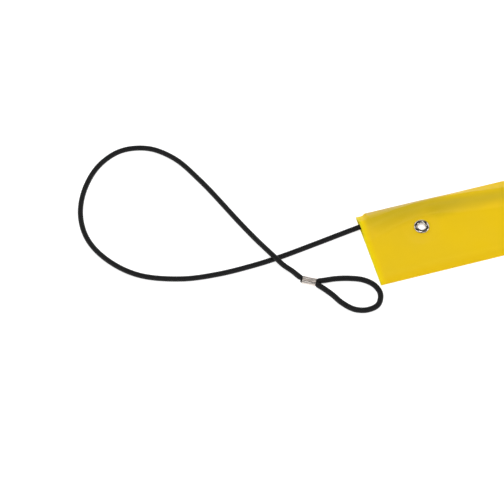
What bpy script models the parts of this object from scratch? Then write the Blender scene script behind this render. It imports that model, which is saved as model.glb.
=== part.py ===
# Warning band for aviation ground equipment: a lay-flat vinyl sleeve with one plated eyelet near
# each end, and an elastic shock cord that runs through it. Each end of the cord comes out of the
# sleeve as a free lead, and is turned back into a small eye that a sheet-metal ferrule clamps.
#
# Frame: metres, +Z up. The band lies flat on z = 0 and runs along X, centred on x = 0.
# Its folded edge is the +Y side and its welded edge is the -Y side. "near" is the -X end.

import math

import bmesh
import bpy
from mathutils import Vector

# --- driving dimensions ---------------------------------------------------------------------

BAND_LENGTH = 0.610
BAND_WIDTH = 0.0762
VINYL = 0.0006                   # thickness of one layer
LAYER_GAP = 0.0004               # air between the two layers where they lie flat
CORD_DIAMETER = 0.0044
CLEARANCE = 0.0003               # between pieces that touch

CORD_BELOW_FOLD = 0.0131         # where the cord leaves the sleeve, and along its middle
CORD_ROOM = 0.0013               # sideways room for the cord under the upper layer
MOUTH_ROOM = 0.0009              # further room that the sleeve's open ends give it
MOUTH_DEPTH = 0.022
DRAPE_WIDTH = 0.011              # from the cord's crest down to the flat of the band

EYELET_INSET = 0.053             # eyelet's centre from the band's end
EYELET_BELOW_FOLD = 0.0282
EYELET_BORE = 0.0064
EYELET_FLANGE = 0.0143           # diameter of the flange, and of the washer
EYELET_METAL = 0.0003
CROWN_HEIGHT = 0.0012            # flange's crown above the vinyl
CURL_RADIUS = 0.0006             # the rolled end of the barrel, under the washer
WASHER_METAL = 0.0003
EYELET_GAP = 0.00025             # either side of the washer
LIFT_MARGIN = 0.0013             # level vinyl past the washer's rim
LIFT_SLOPE = 0.0115              # from there down to where the layers lie on the surface

FERRULE_LENGTH = 0.0124
FERRULE_WALL = 0.00045
CORD_SQUEEZE = 0.64              # cord's radius inside the ferrule, as a share of its free one
STRAND_GAP = 0.00068             # between the two strands inside the ferrule
STRAND_SPREAD = 1.25             # how far they have parted just outside it
GROOVE_SHARE = 1.15              # groove's floor, as a share of where the two rounds would meet
TAIL = 0.0022                    # cut end of the cord, past the ferrule
FLOOR_GAP = 0.0001               # between the cord and the surface it lies on

ROUND_STEPS = 24                 # sides of an eyelet and a washer
TUBE_RESOLUTION = 2              # eight sides round the cord

# --- sizes that follow ------------------------------------------------------------------------

HALF_LENGTH = BAND_LENGTH / 2
HALF_WIDTH = BAND_WIDTH / 2
CORD_RADIUS = CORD_DIAMETER / 2
FLAT_HEIGHT = 2 * VINYL + LAYER_GAP
EDGE_RADIUS = FLAT_HEIGHT / 2
RUN_HEIGHT = VINYL + CLEARANCE + CORD_RADIUS
CREST_RADIUS = RUN_HEIGHT
LAID_HEIGHT = FLOOR_GAP + CORD_RADIUS
HUMP_HEIGHT = LAID_HEIGHT + CORD_DIAMETER + CLEARANCE
EYELET_X = HALF_LENGTH - EYELET_INSET
EYELET_Y = HALF_WIDTH - EYELET_BELOW_FOLD
BARREL_RADIUS = EYELET_BORE / 2 + EYELET_METAL
WASHER_BOTTOM = CURL_RADIUS + EYELET_GAP
LIFT = WASHER_BOTTOM + WASHER_METAL + EYELET_GAP
LIFT_FLAT = EYELET_FLANGE / 2 + LIFT_MARGIN
LIFT_REACH = LIFT_FLAT + LIFT_SLOPE
STRAND_OFFSET = CORD_RADIUS * CORD_SQUEEZE + STRAND_GAP / 2
HALF_SQUEEZED = (1 + CORD_SQUEEZE) / 2

# --- routes, chosen by hand -------------------------------------------------------------------

# The cord inside the sleeve: (distance from the band's end, distance below the fold).
RUN_ROUTE = [(0.0, CORD_BELOW_FOLD), (0.020, 0.0099), (0.040, 0.0075), (0.060, 0.0063),
             (0.080, 0.0063), (0.105, 0.0084), (0.130, 0.0113), (0.160, 0.0128),
             (0.200, CORD_BELOW_FOLD)]

# Free leads: (out from the band's end, below the fold, rise). The rise is 1 on top of the hump
# where the cord passes over itself, and 0 where it lies on the surface. One wide loop crosses
# over itself near the band.
NEAR_LEAD = [(0.0170, 0.0153, 0.09), (0.0450, 0.0192, 0), (0.0810, 0.0241, 0), (0.1070, 0.0261, 0),
             (0.1400, 0.0263, 0), (0.1730, 0.0221, 0), (0.2090, 0.0079, 0), (0.2320, -0.0144, 0),
             (0.2445, -0.0404, 0), (0.2450, -0.0679, 0), (0.2345, -0.0949, 0), (0.2155, -0.1167, 0),
             (0.1920, -0.1268, 0), (0.1670, -0.1225, 0), (0.1465, -0.1054, 0), (0.1290, -0.0744, 0),
             (0.1064, -0.0216, 0), (0.0978, -0.0019, 0.11), (0.0915, 0.0131, 0.62), (0.0862, 0.0251, 1),
             (0.0805, 0.0346, 0.64), (0.0740, 0.0416, 0.11)]
NEAR_FERRULE = [(0.0675, 0.0522), (0.0567, 0.0583)]
NEAR_EYE = [(0.0495, 0.0582), (0.0385, 0.0594), (0.0260, 0.0625), (0.0147, 0.0674),
            (0.0068, 0.0752), (0.0042, 0.0851), (0.0094, 0.0953), (0.0200, 0.0979),
            (0.0310, 0.0944), (0.0400, 0.0851), (0.0470, 0.0731)]

# The far lead turns back behind the band, so most of it lies at a negative distance.
FAR_LEAD = [(0.0170, 0.0153, 0.17), (0.0370, 0.0151, 0), (0.0570, 0.0061, 0), (0.0720, -0.0139, 0),
            (0.0770, -0.0419, 0), (0.0730, -0.0699, 0), (0.0610, -0.0929, 0), (0.0410, -0.1089, 0),
            (0.0130, -0.1164, 0), (-0.0350, -0.1179, 0), (-0.0950, -0.1164, 0), (-0.1550, -0.1149, 0),
            (-0.2090, -0.1109, 0), (-0.2280, -0.0989, 0), (-0.2330, -0.0819, 0), (-0.2240, -0.0669, 0),
            (-0.2040, -0.0584, 0), (-0.1650, -0.0569, 0), (-0.1250, -0.0587, 0)]
FAR_FERRULE = [(-0.1050, -0.0604), (-0.0927, -0.0619)]
FAR_EYE = [(-0.0850, -0.0664), (-0.0710, -0.0724), (-0.0570, -0.0749), (-0.0440, -0.0709),
           (-0.0370, -0.0604), (-0.0410, -0.0489), (-0.0520, -0.0434), (-0.0650, -0.0449),
           (-0.0770, -0.0514), (-0.0855, -0.0574)]

COLOURS = {
    "vinyl": ((0.80, 0.55, 0.012), 0.42, 0.0),
    "cord": ((0.020, 0.020, 0.021), 0.80, 0.0),
    "nickel": ((0.72, 0.70, 0.68), 0.22, 1.0),
    "plated_steel": ((0.62, 0.60, 0.56), 0.35, 1.0),
}


# --- helpers ----------------------------------------------------------------------------------

def clear_scene():
    for old in list(bpy.data.objects):
        bpy.data.objects.remove(old, do_unlink=True)


def make_materials():
    made = {}
    for name, (colour, roughness, metallic) in COLOURS.items():
        material = bpy.data.materials.new(name)
        material.use_nodes = True
        shader = material.node_tree.nodes["Principled BSDF"]
        shader.inputs["Base Color"].default_value = (*colour, 1.0)
        shader.inputs["Roughness"].default_value = roughness
        shader.inputs["Metallic"].default_value = metallic
        made[name] = material
    return made


def add_object(name, data, material=None):
    thing = bpy.data.objects.new(name, data)
    bpy.context.scene.collection.objects.link(thing)
    if material:
        data.materials.append(material)
    return thing


def route_point(side, out, below_fold, rise=0.0):
    """World place of a point measured from a band's end, side -1 or 1, and from its fold."""
    height = LAID_HEIGHT + (HUMP_HEIGHT - LAID_HEIGHT) * rise
    return Vector((side * (HALF_LENGTH + out), HALF_WIDTH - below_fold, height))


def finish_mesh(name, bm, material=None, smooth_angle=None):
    bmesh.ops.recalc_face_normals(bm, faces=bm.faces)
    mesh = bpy.data.meshes.new(name)
    bm.to_mesh(mesh)
    bm.free()
    if smooth_angle:
        mesh.shade_smooth()
        mesh.set_sharp_from_angle(angle=smooth_angle)
    return add_object(name, mesh, material)


def smoothstep(value):
    value = min(1.0, max(0.0, value))
    return value * value * (3 - 2 * value)


def arc(centre, radius, start, end, steps):
    """Points on a circle from one angle to another, both ends included."""
    points = []
    for i in range(steps + 1):
        angle = start + (end - start) * i / steps
        points.append((centre[0] + radius * math.cos(angle), centre[1] + radius * math.sin(angle)))
    return points


def loft(bm, rings, closed):
    """Faces between rings that have the same number of vertices."""
    pairs = list(zip(rings, rings[1:]))
    if closed:
        pairs.append((rings[-1], rings[0]))
    for first, second in pairs:
        for i in range(len(first)):
            j = (i + 1) % len(first)
            bm.faces.new((first[i], first[j], second[j], second[i]))


def catmull_rom(points, spacing):
    """Points of a smooth curve through the given ones, about the given spacing apart."""
    guides = [2 * points[0] - points[1], *points, 2 * points[-1] - points[-2]]
    curve = [points[0].copy()]
    for i in range(len(points) - 1):
        before, start, end, after = guides[i:i + 4]
        t1 = math.sqrt((start - before).length)
        t2 = t1 + math.sqrt((end - start).length)
        t3 = t2 + math.sqrt((after - end).length)
        steps = max(1, round((end - start).length / spacing))
        for step in range(1, steps + 1):
            t = t1 + (t2 - t1) * step / steps
            a1 = before * ((t1 - t) / t1) + start * (t / t1)
            a2 = start * ((t2 - t) / (t2 - t1)) + end * ((t - t1) / (t2 - t1))
            a3 = end * ((t3 - t) / (t3 - t2)) + after * ((t - t2) / (t3 - t2))
            b1 = a1 * ((t2 - t) / t2) + a2 * (t / t2)
            b2 = a2 * ((t3 - t) / (t3 - t1)) + a3 * ((t - t1) / (t3 - t1))
            curve.append(b1 * ((t2 - t) / (t2 - t1)) + b2 * ((t - t1) / (t2 - t1)))
    return curve


# --- sleeve -----------------------------------------------------------------------------------

def run_below_fold(from_end):
    """How far below the fold the cord lies, at a distance from the nearer end of the band."""
    if from_end >= RUN_ROUTE[-1][0]:
        return CORD_BELOW_FOLD
    route = catmull_rom([Vector((s, t, 0.0)) for s, t in RUN_ROUTE], MOUTH_DEPTH / 8)
    for first, second in zip(route, route[1:]):
        if first.x <= from_end <= second.x:
            share = (from_end - first.x) / (second.x - first.x)
            return first.y + (second.y - first.y) * share
    return CORD_BELOW_FOLD


def run_y(x):
    return HALF_WIDTH - run_below_fold(HALF_LENGTH - abs(x))


def lift(x, y):
    """Height that an eyelet's washer holds the layers off the surface."""
    distance = math.hypot(abs(x) - EYELET_X, y - EYELET_Y)
    return LIFT * smoothstep((LIFT_REACH - distance) / (LIFT_REACH - LIFT_FLAT))


def section(x, inset):
    """Outline (y, z) of the flattened tube at x, offset inwards by inset.

    It goes along the lower layer, round the fold, over the cord, down to where the layers lie
    together, and round the welded edge.
    """
    edge = HALF_WIDTH - EDGE_RADIUS
    from_end = HALF_LENGTH - abs(x)
    room = CORD_ROOM + MOUTH_ROOM * smoothstep(1 - from_end / MOUTH_DEPTH)
    crest = run_y(x)
    crest_fold_side = min(crest + room, HALF_WIDTH - CREST_RADIUS)
    drop_start = crest - room

    around = [-LIFT_REACH, -(LIFT_REACH + LIFT_FLAT) / 2, -LIFT_FLAT]
    lower = [-edge, (-edge + EYELET_Y - LIFT_REACH) / 2]
    lower += [EYELET_Y + offset for offset in around]
    lower += [EYELET_Y - offset for offset in reversed(around)]
    lower.append(edge)
    outline = [(y, inset) for y in lower]

    # Fold: the layer is pulled straight between two circles, round the fold and over the cord.
    rise = CREST_RADIUS - EDGE_RADIUS
    spread = edge - crest_fold_side
    tangent = math.acos(rise / math.hypot(spread, rise)) - math.atan2(rise, spread)
    outline += arc((edge, EDGE_RADIUS), EDGE_RADIUS - inset, -math.pi / 2, tangent, 4)[1:]
    outline += arc((crest_fold_side, CREST_RADIUS), CREST_RADIUS - inset, tangent, math.pi / 2, 4)

    # Drape: half a cosine wave from the crest down to the flat.
    top = 2 * CREST_RADIUS - inset
    flat = FLAT_HEIGHT - inset
    for share in (0.0, 0.16, 0.32, 0.48, 0.64, 0.80, 1.0):
        height = flat + (top - flat) * (1 + math.cos(math.pi * share)) / 2
        outline.append((drop_start - DRAPE_WIDTH * share, height))
    foot = drop_start - DRAPE_WIDTH

    upper = [min(EYELET_Y, foot - VINYL)]
    upper += [EYELET_Y + offset for offset in reversed(around)]
    upper.append(lower[1])
    outline += [(y, flat) for y in upper]
    outline += arc((-edge, EDGE_RADIUS), EDGE_RADIUS - inset, math.pi / 2, 3 * math.pi / 2, 4)[:-1]
    return [(y, z + lift(x, y)) for y, z in outline]


def sleeve_stations():
    """Distances along X at which the sleeve's section is drawn, closer together at an eyelet."""
    around = [LIFT_FLAT, (LIFT_FLAT + LIFT_REACH) / 2, LIFT_REACH]
    half = [0.0, MOUTH_DEPTH / 2]
    half += [EYELET_INSET - offset for offset in reversed(around)]
    half.append(EYELET_INSET)
    half += [EYELET_INSET + offset for offset in around]
    half += [from_end for from_end, below in RUN_ROUTE if from_end > half[-1] + DRAPE_WIDTH]
    half.append((half[-1] + HALF_LENGTH) / 2)
    near = [-HALF_LENGTH + s for s in half]
    return near + [0.0] + [-x for x in reversed(near)]


def make_sleeve(materials):
    bm = bmesh.new()
    outer = []
    inner = []
    for x in sleeve_stations():
        outer.append([bm.verts.new((x, y, z)) for y, z in section(x, 0.0)])
        inner.append([bm.verts.new((x, y, z)) for y, z in section(x, VINYL)])
    loft(bm, outer, closed=False)
    loft(bm, inner, closed=False)
    loft(bm, [outer[0], inner[0]], closed=False)
    loft(bm, [outer[-1], inner[-1]], closed=False)
    sleeve = finish_mesh("sleeve", bm, materials["vinyl"], smooth_angle=math.radians(35))
    for end, side in (("near", -1), ("far", 1)):
        cut_eyelet_hole(sleeve, end, side)
    return sleeve


def cut_eyelet_hole(sleeve, end, side):
    bm = bmesh.new()
    bmesh.ops.create_cone(bm, cap_ends=True, segments=ROUND_STEPS, radius1=BARREL_RADIUS + CLEARANCE,
                          radius2=BARREL_RADIUS + CLEARANCE, depth=4 * (LIFT + FLAT_HEIGHT))
    cutter = finish_mesh(f"{end}_hole_cutter", bm)
    cutter.location = (side * EYELET_X, EYELET_Y, LIFT + EDGE_RADIUS)
    cutter.hide_render = True
    cutter.display_type = "WIRE"
    hole = sleeve.modifiers.new(f"{end} eyelet hole", "BOOLEAN")
    hole.operation = "DIFFERENCE"
    hole.solver = "EXACT"
    hole.object = cutter


# --- eyelets ----------------------------------------------------------------------------------

def turned(name, profile, location, material):
    """A ring turned from a closed (radius, z) profile about a vertical axis."""
    bm = bmesh.new()
    rings = []
    for step in range(ROUND_STEPS):
        angle = 2 * math.pi * step / ROUND_STEPS
        rings.append([bm.verts.new((r * math.cos(angle), r * math.sin(angle), z)) for r, z in profile])
    loft(bm, rings, closed=True)
    ring = finish_mesh(name, bm, material, smooth_angle=math.radians(40))
    ring.location = location
    return ring


def sheet_profile(path, thickness):
    """Closed outline of a sheet of the given thickness whose middle follows the path."""
    left = []
    right = []
    for i, point in enumerate(path):
        before = Vector(path[max(i - 1, 0)])
        after = Vector(path[min(i + 1, len(path) - 1)])
        along = (after - before).normalized()
        across = Vector((-along.y, along.x)) * thickness / 2
        left.append(tuple(Vector(point) + across))
        right.append(tuple(Vector(point) - across))
    return left + right[::-1]


def make_eyelet(name, side, materials):
    """Flange with a raised crown, a barrel through both layers, and its end rolled outwards."""
    half = EYELET_METAL / 2
    vinyl_top = LIFT + FLAT_HEIGHT
    rim = EYELET_FLANGE / 2 - half
    barrel = BARREL_RADIUS - half
    crown = vinyl_top + CLEARANCE + CROWN_HEIGHT - half
    rim_height = vinyl_top + CLEARANCE + half
    shoulder = CROWN_HEIGHT - EYELET_METAL
    path = [(rim, rim_height)]
    path += arc((rim - shoulder, crown - shoulder), shoulder, math.radians(30), math.pi / 2, 2)
    path += arc((barrel + shoulder, crown - shoulder), shoulder, math.pi / 2, math.pi, 3)
    roll = CURL_RADIUS - half
    path += arc((barrel + roll, CURL_RADIUS), roll, math.pi, 1.5 * math.pi, 2)
    path.append((barrel + roll + CURL_RADIUS, half))
    profile = sheet_profile(path, EYELET_METAL)
    place = (side * EYELET_X, EYELET_Y, 0.0)
    return turned(name, profile, place, materials["nickel"])


def make_washer(name, side, materials):
    inside = BARREL_RADIUS + CLEARANCE
    outside = EYELET_FLANGE / 2
    top = WASHER_BOTTOM + WASHER_METAL
    profile = [(inside, WASHER_BOTTOM), (outside, WASHER_BOTTOM), (outside, top), (inside, top)]
    place = (side * EYELET_X, EYELET_Y, 0.0)
    return turned(name, profile, place, materials["nickel"])


# --- ferrules ---------------------------------------------------------------------------------

def double_round(radius, waist):
    """Outline of two rounds side by side, joined by a flat at the waist's height."""
    reach = math.pi - math.asin(waist / radius)
    right = arc((STRAND_OFFSET, 0.0), radius, -reach, reach, 8)
    return right + [(-y, -z) for y, z in right]


def make_ferrule(name, ends, materials):
    """Folded sheet-metal crimp: two rounds side by side with a groove between them."""
    channel = CORD_RADIUS * CORD_SQUEEZE + CLEARANCE
    shell = channel + FERRULE_WALL
    groove = GROOVE_SHARE * math.sqrt(shell ** 2 - STRAND_OFFSET ** 2)
    chamfer = FERRULE_WALL / 2
    bm = bmesh.new()
    outer = []
    inner = []
    for x, trim in ((0.0, chamfer), (chamfer, 0.0), (FERRULE_LENGTH - chamfer, 0.0),
                    (FERRULE_LENGTH, chamfer)):
        shell_points = double_round(shell - trim, groove - trim)
        outer.append([bm.verts.new((x, y, z)) for y, z in shell_points])
    for x in (0.0, FERRULE_LENGTH):
        channel_points = double_round(channel, groove - FERRULE_WALL)
        inner.append([bm.verts.new((x, y, z)) for y, z in channel_points])
    loft(bm, outer, closed=False)
    loft(bm, inner, closed=False)
    loft(bm, [outer[0], inner[0]], closed=False)
    loft(bm, [outer[-1], inner[-1]], closed=False)
    ferrule = finish_mesh(name, bm, materials["plated_steel"], smooth_angle=math.radians(40))
    start, end = ends
    along = (end - start).normalized()
    ferrule.location = start
    ferrule.rotation_euler = (0.0, 0.0, math.atan2(along.y, along.x))
    return ferrule


# --- cord -------------------------------------------------------------------------------------

def make_tube(name, points, materials, shares=None):
    """A round cord along the points. A share below 1 narrows it at a point."""
    curve = bpy.data.curves.new(name, "CURVE")
    curve.dimensions = "3D"
    curve.bevel_depth = CORD_RADIUS
    curve.bevel_resolution = TUBE_RESOLUTION
    curve.use_fill_caps = True
    curve.render_resolution_u = 0
    spline = curve.splines.new("POLY")
    spline.points.add(len(points) - 1)
    for i, point in enumerate(points):
        spline.points[i].co = (*point, 1.0)
        spline.points[i].radius = shares[i] if shares else 1.0
    return add_object(name, curve, materials["cord"])


def make_run(materials):
    spacing = 3 * CORD_DIAMETER
    steps = round(BAND_LENGTH / spacing)
    points = []
    for i in range(steps + 1):
        x = -HALF_LENGTH + BAND_LENGTH * i / steps
        points.append(Vector((x, run_y(x), RUN_HEIGHT)))
    return make_tube("cord_run", points, materials)


def strand(ends, side, reach):
    """Points (place, radius share) of one strand through a ferrule, start to end."""
    start, end = ends
    along = (end - start).normalized()
    across = Vector((-along.y, along.x, 0.0)) * side * STRAND_OFFSET
    end = start + along * FERRULE_LENGTH
    inside = [start + across, end + across]
    outside = end + across * STRAND_SPREAD + along * reach
    return [(point, CORD_SQUEEZE) for point in inside] + [(outside, HALF_SQUEEZED)]


def make_lead(name, route, ferrule, eye, side, materials):
    """Free end of the cord: out of the sleeve, through the ferrule, round the eye and back."""
    reach = CORD_DIAMETER / 2
    main = strand(ferrule, 1, reach)
    back = strand(ferrule, -1, reach)
    along = (ferrule[1] - ferrule[0]).normalized()
    exit_x = side * (HALF_LENGTH + CLEARANCE)
    tube = [(Vector((exit_x, run_y(HALF_LENGTH), RUN_HEIGHT)), 1.0)]
    tube += [(point, 1.0) for point in route]
    tube.append((main[0][0] - along * reach, HALF_SQUEEZED))
    tube += main
    tube += [(point, 1.0) for point in eye]
    tube += back[::-1]
    tube.append((back[0][0] - along * TAIL, CORD_SQUEEZE))
    guides = [point for point, share in tube]
    shares = [share for point, share in tube]
    return cord_through(name, guides, shares, materials)


def cord_through(name, guides, shares, materials):
    spacing = 2.4 * CORD_DIAMETER
    points = catmull_rom(guides, spacing)
    radii = [shares[0]]
    for i in range(len(guides) - 1):
        steps = max(1, round((guides[i + 1] - guides[i]).length / spacing))
        for step in range(1, steps + 1):
            radii.append(shares[i] + (shares[i + 1] - shares[i]) * step / steps)
    return make_tube(name, points, materials, radii)


# --- assembly ---------------------------------------------------------------------------------

def build():
    clear_scene()
    materials = make_materials()
    make_sleeve(materials)
    for end, side in (("near", -1), ("far", 1)):
        make_eyelet(f"eyelet_{end}", side, materials)
        make_washer(f"eyelet_washer_{end}", side, materials)
    make_run(materials)
    for end, side, *routes in (("near", -1, NEAR_LEAD, NEAR_FERRULE, NEAR_EYE),
                               ("far", 1, FAR_LEAD, FAR_FERRULE, FAR_EYE)):
        route, ferrule, eye = [[route_point(side, *point) for point in points] for points in routes]
        make_lead(f"cord_lead_{end}", route, ferrule, eye, side, materials)
        make_ferrule(f"ferrule_{end}", ferrule, materials)


build()
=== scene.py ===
# Warning band for aviation ground equipment: a lay-flat vinyl sleeve with plated eyelets and a
# braided elastic cord through it. Metres, +Z up. The band lies along X, "near" is its -X end,
# and its folded edge is the +Y side.
import math

import bmesh
import bpy
import numpy as np
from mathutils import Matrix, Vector


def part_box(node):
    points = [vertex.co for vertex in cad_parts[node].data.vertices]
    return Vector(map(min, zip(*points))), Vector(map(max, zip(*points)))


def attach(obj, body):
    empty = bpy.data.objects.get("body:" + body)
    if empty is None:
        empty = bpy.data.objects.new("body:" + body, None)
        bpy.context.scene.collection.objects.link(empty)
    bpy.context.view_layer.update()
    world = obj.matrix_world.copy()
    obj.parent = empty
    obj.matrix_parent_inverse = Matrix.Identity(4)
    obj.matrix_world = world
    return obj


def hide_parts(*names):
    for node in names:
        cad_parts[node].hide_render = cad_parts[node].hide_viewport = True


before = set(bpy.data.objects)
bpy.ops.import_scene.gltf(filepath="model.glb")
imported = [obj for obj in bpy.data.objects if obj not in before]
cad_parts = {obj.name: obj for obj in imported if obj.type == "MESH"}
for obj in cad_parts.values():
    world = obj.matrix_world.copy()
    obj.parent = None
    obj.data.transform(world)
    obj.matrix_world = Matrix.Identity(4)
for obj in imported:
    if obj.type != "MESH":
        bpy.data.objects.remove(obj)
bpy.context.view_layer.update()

sleeveLow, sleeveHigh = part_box("sleeve")
halfLength = sleeveHigh.x
halfWidth = sleeveHigh.y
mm = 0.001


camera = {
    "elevation": 59.283,                # degrees above the floor
    "azimuth": -15.589,                 # 0 looks along +Y
    "distance": 2.0,
    "aimFromCorner": (-0.10336, 0.02733),   # from the middle of the band's near end
    "widthSeen": 0.45914,               # metres across the view at the aim point
    "sensor": 36.0,
}


def addCamera():
    a = math.radians(camera["azimuth"])
    e = math.radians(camera["elevation"])
    out, up = camera["aimFromCorner"]
    aim = Vector((sleeveLow.x + out, up, 0.0))
    back = Vector((math.sin(a) * math.cos(e), -math.cos(a) * math.cos(e), math.sin(e)))
    data = bpy.data.cameras.new("camera")
    data.sensor_width = camera["sensor"]
    data.lens = camera["sensor"] * camera["distance"] / camera["widthSeen"]
    data.clip_start = 0.01
    data.clip_end = 20.0
    thing = bpy.data.objects.new("camera", data)
    bpy.context.scene.collection.objects.link(thing)
    thing.location = aim + back * camera["distance"]
    thing.rotation_euler = back.to_track_quat("Z", "Y").to_euler()
    bpy.context.scene.camera = thing


def smooth(value):
    value = np.clip(value, 0.0, 1.0)
    return value * value * (3 - 2 * value)


# sRGB hex to a linear colour.
def linear(hexColour):
    channels = [int(hexColour[i:i + 2], 16) / 255 for i in (0, 2, 4)]
    return (*[c / 12.92 if c < 0.04045 else ((c + 0.055) / 1.055) ** 2.4 for c in channels], 1.0)


def addNode(tree, kind, settings=None, links=None):
    new = tree.nodes.new(kind)
    for name, value in (settings or {}).items():
        if isinstance(name, int) or name in new.inputs:
            new.inputs[name].default_value = value
        else:
            setattr(new, name, value)
    for name, output in (links or {}).items():
        tree.links.new(output, new.inputs[name])
    return new


def newMaterial(name, settings):
    material = bpy.data.materials.new(name)
    material.use_nodes = True
    shader = material.node_tree.nodes["Principled BSDF"]
    for socket, value in settings.items():
        shader.inputs[socket].default_value = value
    return material, material.node_tree, shader


def addPiece(name, points, faces, material, smoothAngle=40.0):
    mesh = bpy.data.meshes.new(name)
    mesh.from_pydata([tuple(p) for p in points], [], [tuple(f) for f in faces])
    fixer = bmesh.new()
    fixer.from_mesh(mesh)
    bmesh.ops.recalc_face_normals(fixer, faces=fixer.faces)
    fixer.to_mesh(mesh)
    fixer.free()
    mesh.materials.append(material)
    mesh.shade_smooth()
    mesh.set_sharp_from_angle(angle=math.radians(smoothAngle))
    piece = bpy.data.objects.new(name, mesh)
    bpy.context.scene.collection.objects.link(piece)
    return piece


def setAttribute(piece, name, values):
    attribute = piece.data.attributes.new(name, "FLOAT", "POINT")
    attribute.data.foreach_set("value", np.asarray(values, np.float32))


# Quads over a grid of points, rows x columns, numbered row by row.
def gridFaces(rows, columns, start=0, wrapRows=False, wrapColumns=True):
    row = np.arange(rows if wrapRows else rows - 1)[:, None]
    column = np.arange(columns if wrapColumns else columns - 1)[None, :]
    nextRow = (row + 1) % rows
    nextColumn = (column + 1) % columns
    corners = [row * columns + column, row * columns + nextColumn,
               nextRow * columns + nextColumn, nextRow * columns + column]
    return np.stack(np.broadcast_arrays(*corners), axis=-1).reshape(-1, 4) + start


def arc(centre, radius, start, end, count):
    angles = np.radians(np.linspace(start, end, count))
    return np.stack([centre[0] + radius * np.cos(angles), centre[1] + radius * np.sin(angles)], 1)


cord = {
    "diameter": 4.4 * mm,
    "floorGap": 0.1 * mm,
    "freeLength": 0.784,                # each lead, from the sleeve to its cut end
    "tuck": 14 * mm,                    # a lead starts this far inside the sleeve
    "carriers": 8,                      # strands that wind each way
    "eyeShare": 1.06,                   # the eye is slack, so its cord is fatter
    "turn": 14.5 * mm,                  # cord length in which a strand goes once round
    "bulk": 0.19 * mm,                  # the braid stands proud of the nominal radius
    "relief": 0.17 * mm,                # crown of a strand above the gap beside it
    "ringStep": 0.45 * mm,
    "sides": 36,
    "squeeze": 0.73,                    # radius inside the ferrule, as a share
    "strandOffset": 1.748 * mm,         # each strand from the ferrule's middle line
    "spread": 1.25,                     # the strands have parted by this just outside the ferrule
    "tail": 1.65 * mm,                  # what sticks out of the ferrule
    "tailInward": 0.55,                 # its place across, as a share of the strand's
    "cutShare": 0.5,                    # the slanting cut of the tail, as a share of the radius
    "meltedEnd": 1.1 * mm,              # sealed with a flame, so the braid ends in a dome
    "humpRise": 4.7 * mm,               # the upper strand over the lower one, where they cross
    "runLift": 0.9 * mm,                # the lower layer and the clearance, under the cord
    "faceGap": 0.3 * mm,                # between the run and a lead, and outside the mouth
    # Painted shade on the sleeve over the cord, where the black cord also shows through: distance
    # from the band's end, below the fold, how much of it is left at the fold, how strong, and how
    # far it fades away from the fold.
    "paintedShade": [(0.0, 0.0110, 0.0, 0.35, 0.012), (0.004, 0.0105, 0.05, 0.60, 0.012),
              (0.010, 0.0088, 0.35, 0.85, 0.018), (0.020, 0.0090, 0.65, 0.85, 0.019),
              (0.030, 0.0078, 0.95, 1.0, 0.018), (0.045, 0.0085, 0.85, 1.0, 0.016),
              (0.060, 0.0082, 0.85, 0.95, 0.016), (0.075, 0.0108, 0.60, 1.0, 0.016),
              (0.090, 0.0120, 0.05, 1.0, 0.013), (0.105, 0.0138, 0.05, 0.80, 0.012),
              (0.120, 0.0160, 0.0, 0.80, 0.009), (0.150, 0.0180, 0.0, 0.7, 0.009),
              (0.200, 0.0180, 0.0, 0.6, 0.009)],
}
cordRadius = cord["diameter"] / 2
laidHeight = cord["floorGap"] + cordRadius
runHeight = cord["runLift"] + cordRadius

# Inside the sleeve: distance from the band's end, distance below the fold.
runRoute = [(0.0, 0.0131), (0.020, 0.0099), (0.040, 0.0075), (0.060, 0.0063), (0.080, 0.0063),
            (0.105, 0.0084), (0.130, 0.0113), (0.160, 0.0128), (0.200, 0.0131)]

# Free leads: out from the band's end, below the fold, rise over the crossing from 0 to 1.
nearLead = [(0.0170, 0.0153, 0.09), (0.0450, 0.0192, 0), (0.0810, 0.0241, 0), (0.1070, 0.0261, 0),
            (0.1400, 0.0263, 0), (0.1730, 0.0221, 0), (0.2090, 0.0079, 0), (0.2320, -0.0144, 0),
            (0.2445, -0.0404, 0), (0.2450, -0.0679, 0), (0.2345, -0.0949, 0), (0.2155, -0.1167, 0),
            (0.1920, -0.1268, 0), (0.1670, -0.1225, 0), (0.1465, -0.1054, 0), (0.1290, -0.0744, 0),
            (0.1064, -0.0216, 0), (0.0978, -0.0019, 0.11), (0.0915, 0.0131, 0.62), (0.0862, 0.0251, 1),
            (0.0805, 0.0346, 0.64), (0.0740, 0.0416, 0.11)]
nearFerrule = [(0.0675, 0.0522), (0.0567, 0.0583)]
nearEye = [(0.0495, 0.0582), (0.0385, 0.0594), (0.0260, 0.0625), (0.0147, 0.0674),
           (0.0068, 0.0752), (0.0042, 0.0851), (0.0094, 0.0953), (0.0200, 0.0979),
           (0.0310, 0.0944), (0.0400, 0.0851), (0.0470, 0.0731)]
farLead = [(0.0170, 0.0153, 0.17), (0.0370, 0.0151, 0), (0.0570, 0.0061, 0), (0.0720, -0.0139, 0),
           (0.0770, -0.0419, 0), (0.0730, -0.0699, 0), (0.0610, -0.0929, 0), (0.0410, -0.1089, 0),
           (0.0130, -0.1164, 0), (-0.0350, -0.1179, 0), (-0.0950, -0.1164, 0), (-0.1550, -0.1149, 0),
           (-0.2090, -0.1109, 0), (-0.2280, -0.0989, 0), (-0.2330, -0.0819, 0), (-0.2240, -0.0669, 0),
           (-0.2040, -0.0584, 0), (-0.1650, -0.0569, 0), (-0.1250, -0.0587, 0)]
farFerrule = [(-0.1050, -0.0604), (-0.0927, -0.0619)]
farEye = [(-0.0850, -0.0664), (-0.0710, -0.0724), (-0.0570, -0.0749), (-0.0440, -0.0709),
          (-0.0370, -0.0604), (-0.0410, -0.0489), (-0.0520, -0.0434), (-0.0650, -0.0449),
          (-0.0770, -0.0514), (-0.0855, -0.0574)]


def placed(side, out, belowFold, rise=0.0):
    return np.array((side * (halfLength + out), halfWidth - belowFold,
                     laidHeight + cord["humpRise"] * rise))


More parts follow.
